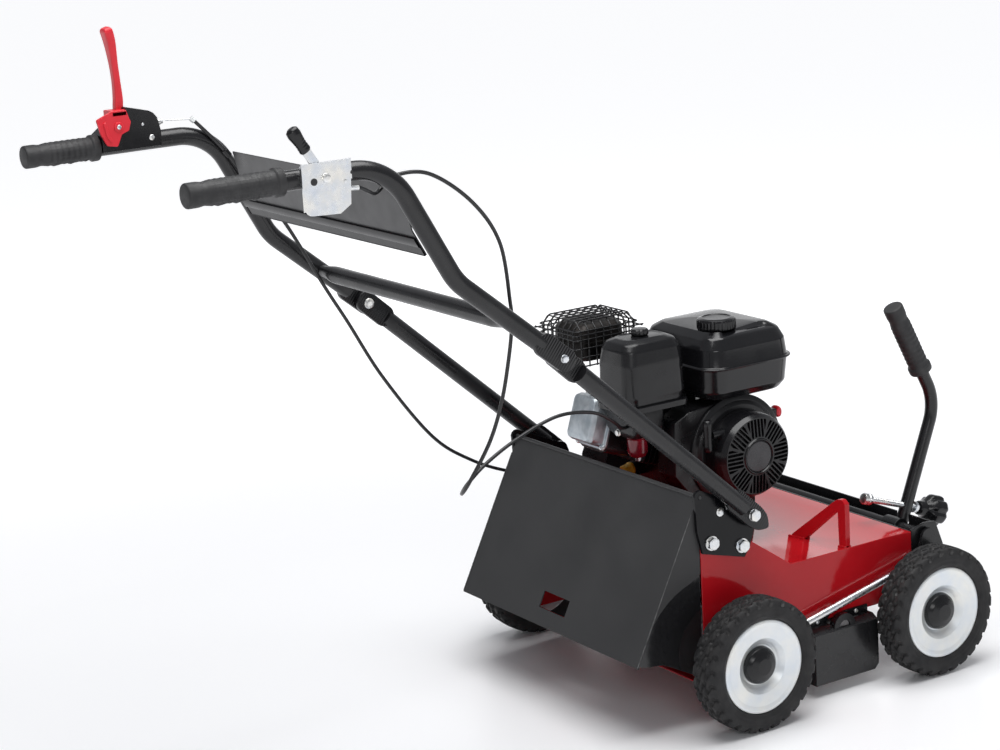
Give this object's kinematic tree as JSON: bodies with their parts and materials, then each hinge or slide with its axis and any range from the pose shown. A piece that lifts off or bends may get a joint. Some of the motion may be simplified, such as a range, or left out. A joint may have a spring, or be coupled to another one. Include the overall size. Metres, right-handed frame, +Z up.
{
  "type": "petrol lawn aerator",
  "caption": "Walk-behind petrol lawn aerator: red wheeled deck over a bladed rotor, side-shaft engine, height lever, rear flap and folding handles with clutch and throttle.",
  "frame": {"origin": "centre of the machine's outline on the ground", "axes": "+Z up, +Y the way it is pushed, +X to its right"},
  "size_m": [0.63, 1.3039, 1.064],
  "materials": {
    "red_paint": "deep red gloss powder coat",
    "black_paint": "black satin powder coat",
    "engine_black": "black satin engine paint",
    "flap_grey": "dark grey coat",
    "rubber": "matt moulded rubber",
    "tyre_rubber": "matt with lugs",
    "zinc": "zinc plated",
    "aluminium": "cast",
    "wheel_zinc": "bright zinc sheet",
    "red_plastic": "moulded",
    "yellow_plastic": "moulded",
    "dark_steel": "plain dark steel"
  },
  "bodies": {
    "chassis": {"deck_shell": "red_paint", "front_channel": "black_paint", "lifting_handle": "red_paint", "side_guard_right": "black_paint", "side_guard_left": "black_paint", "handle_bracket_right": "black_paint", "handle_bracket_left": "black_paint", "belt_cover": "black_paint", "drive_belt": "rubber", "engine_block": "engine_black", "rocker_cover": "aluminium", "blower_housing": "engine_black", "recoil_cover": "engine_black", "fuel_tank": "engine_black", "air_cleaner_cover": "engine_black", "muffler": "dark_steel", "muffler_guard": "black_paint", "carburetor": "aluminium", "oil_plug": "yellow_plastic", "rotor_bearing_right": "zinc", "rotor_bearing_left": "zinc"},
    "front_axle": {"front_axle": "black_paint", "height_lever": "black_paint", "lever_grip": "rubber"},
    "rear_axle": {"rear_axle": "black_paint"},
    "tie_rod": {"tie_rod": "zinc"},
    "depth_screw": {"depth_screw": "black_paint"},
    "wheel_front_right": {"tyre_front_right": "tyre_rubber", "wheel_disc_front_right": "wheel_zinc"},
    "wheel_front_left": {"tyre_front_left": "tyre_rubber", "wheel_disc_front_left": "wheel_zinc"},
    "wheel_rear_right": {"tyre_rear_right": "tyre_rubber", "wheel_disc_rear_right": "wheel_zinc"},
    "wheel_rear_left": {"tyre_rear_left": "tyre_rubber", "wheel_disc_rear_left": "wheel_zinc"},
    "rotor": {"rotor": "dark_steel", "rotor_pulley": "dark_steel"},
    "drive": {"drive_pulley": "dark_steel"},
    "idler_arm": {"idler_arm": "zinc"},
    "idler_pulley": {"idler_pulley": "dark_steel"},
    "lower_handle": {"lower_strut_right": "black_paint", "lower_strut_left": "black_paint"},
    "upper_handle": {"upper_tube_right": "black_paint", "upper_tube_left": "black_paint", "crossbar": "black_paint", "console_plate": "black_paint", "grip_right": "rubber", "grip_left": "rubber", "clutch_housing": "black_paint", "throttle_plate": "zinc", "throttle_cable": "rubber", "clutch_cable": "rubber"},
    "clutch_lever": {"clutch_lever": "red_plastic"},
    "throttle_lever": {"throttle_lever": "zinc"},
    "rear_flap": {"rear_flap": "flap_grey"},
    "starter_grip": {"starter_grip": "engine_black"},
    "engine_switch": {"engine_switch": "red_plastic"},
    "fuel_cap": {"fuel_cap": "engine_black"},
    "air_cleaner_knob": {"air_cleaner_knob": "engine_black"},
    "choke_lever": {"choke_lever": "engine_black"}
  },
  "joints": [
    {"name": "front_axle_lift", "type": "hinge", "parent": "chassis", "child": "front_axle", "pos_m": [0, 0.5505, 0.198], "axis": [1, 0, 0], "range_deg": [-30, 0]},
    {"name": "rear_axle_lift", "type": "hinge", "parent": "chassis", "child": "rear_axle", "pos_m": [0, 0.219, 0.131], "axis": [1, 0, 0], "range_deg": [-27.5, 0]},
    {"name": "tie_rod_swing", "type": "hinge", "parent": "front_axle", "child": "tie_rod", "pos_m": [0.2493, 0.5455, 0.172], "axis": [1, 0, 0], "range_deg": [0, 30.3]},
    {"name": "depth_screw_turn", "type": "hinge", "parent": "front_axle", "child": "depth_screw", "pos_m": [0.165, 0.57645, 0.22529], "axis": [0, 0.9455, -0.3256], "continuous": true},
    {"name": "wheel_front_right_spin", "type": "hinge", "parent": "front_axle", "child": "wheel_front_right", "pos_m": [0.29, 0.518, 0.1], "axis": [1, 0, 0], "continuous": true},
    {"name": "wheel_front_left_spin", "type": "hinge", "parent": "front_axle", "child": "wheel_front_left", "pos_m": [-0.29, 0.518, 0.1], "axis": [1, 0, 0], "continuous": true},
    {"name": "wheel_rear_right_spin", "type": "hinge", "parent": "rear_axle", "child": "wheel_rear_right", "pos_m": [0.29, 0.169, 0.1], "axis": [1, 0, 0], "continuous": true},
    {"name": "wheel_rear_left_spin", "type": "hinge", "parent": "rear_axle", "child": "wheel_rear_left", "pos_m": [-0.29, 0.169, 0.1], "axis": [1, 0, 0], "continuous": true},
    {"name": "rotor_spin", "type": "hinge", "parent": "chassis", "child": "rotor", "pos_m": [0, 0.367, 0.1], "axis": [1, 0, 0], "continuous": true},
    {"name": "drive_spin", "type": "hinge", "parent": "chassis", "child": "drive", "pos_m": [-0.203, 0.315, 0.351], "axis": [1, 0, 0], "continuous": true},
    {"name": "idler_swing", "type": "hinge", "parent": "chassis", "child": "idler_arm", "pos_m": [-0.1947, 0.26865, 0.2849], "axis": [1, 0, 0], "range_deg": [0, 17.5]},
    {"name": "idler_pulley_spin", "type": "hinge", "parent": "idler_arm", "child": "idler_pulley", "pos_m": [-0.203, 0.26665, 0.2409], "axis": [1, 0, 0], "continuous": true},
    {"name": "handle_lower_fold", "type": "hinge", "parent": "chassis", "child": "lower_handle", "pos_m": [0, 0.199, 0.312], "axis": [1, 0, 0], "range_deg": [-12, 8], "deforming": ["throttle_cable", "clutch_cable"]},
    {"name": "handle_upper_fold", "type": "hinge", "parent": "lower_handle", "child": "upper_handle", "pos_m": [0, -0.124, 0.604], "axis": [1, 0, 0], "range_deg": [-125, 0], "deforming": ["throttle_cable", "clutch_cable"]},
    {"name": "clutch_lever_squeeze", "type": "hinge", "parent": "upper_handle", "child": "clutch_lever", "pos_m": [-0.257, -0.516, 0.925], "axis": [1, 0, 0], "range_deg": [0, 60], "stiffness_Nm_per_rad": 0.5, "springref_deg": -28.65},
    {"name": "throttle_lever_swing", "type": "hinge", "parent": "upper_handle", "child": "throttle_lever", "pos_m": [0.2709, -0.466, 0.8962], "axis": [-1, 0, 0], "range_deg": [0, 60]},
    {"name": "rear_flap_lift", "type": "hinge", "parent": "chassis", "child": "rear_flap", "pos_m": [0, 0.118, 0.351], "axis": [-1, 0, 0], "range_deg": [0, 70]},
    {"name": "starter_pull", "type": "slide", "parent": "chassis", "child": "starter_grip", "axis": [0.2537, -0.9639, 0.0812], "range_m": [0, 0.3], "stiffness_N_per_m": 15, "springref_m": -0.2},
    {"name": "engine_switch_rock", "type": "hinge", "parent": "chassis", "child": "engine_switch", "pos_m": [0.0653, 0.40168, 0.39325], "axis": [1, 0, 0], "range_deg": [-10, 10]},
    {"name": "fuel_cap_turn", "type": "hinge", "parent": "chassis", "child": "fuel_cap", "pos_m": [0.05, 0.3055, 0.5398], "axis": [0, 0, 1], "range_deg": [0, 90]},
    {"name": "air_cleaner_knob_turn", "type": "hinge", "parent": "chassis", "child": "air_cleaner_knob", "pos_m": [0.0315, 0.175, 0.5483], "axis": [0, 0, 1], "continuous": true},
    {"name": "choke_lever_swing", "type": "hinge", "parent": "chassis", "child": "choke_lever", "pos_m": [0.0413, 0.171, 0.41], "axis": [1, 0, 0], "range_deg": [0, 45]}
  ],
  "couplings": [
    {"joint": "rear_axle_lift", "follows": "front_axle_lift", "ratio": 0.90996},
    {"joint": "tie_rod_swing", "follows": "front_axle_lift", "ratio": -1.003},
    {"joint": "drive_spin", "follows": "rotor_spin", "ratio": 0.88235},
    {"joint": "idler_swing", "follows": "clutch_lever_squeeze", "ratio": 0.28}
  ]
}
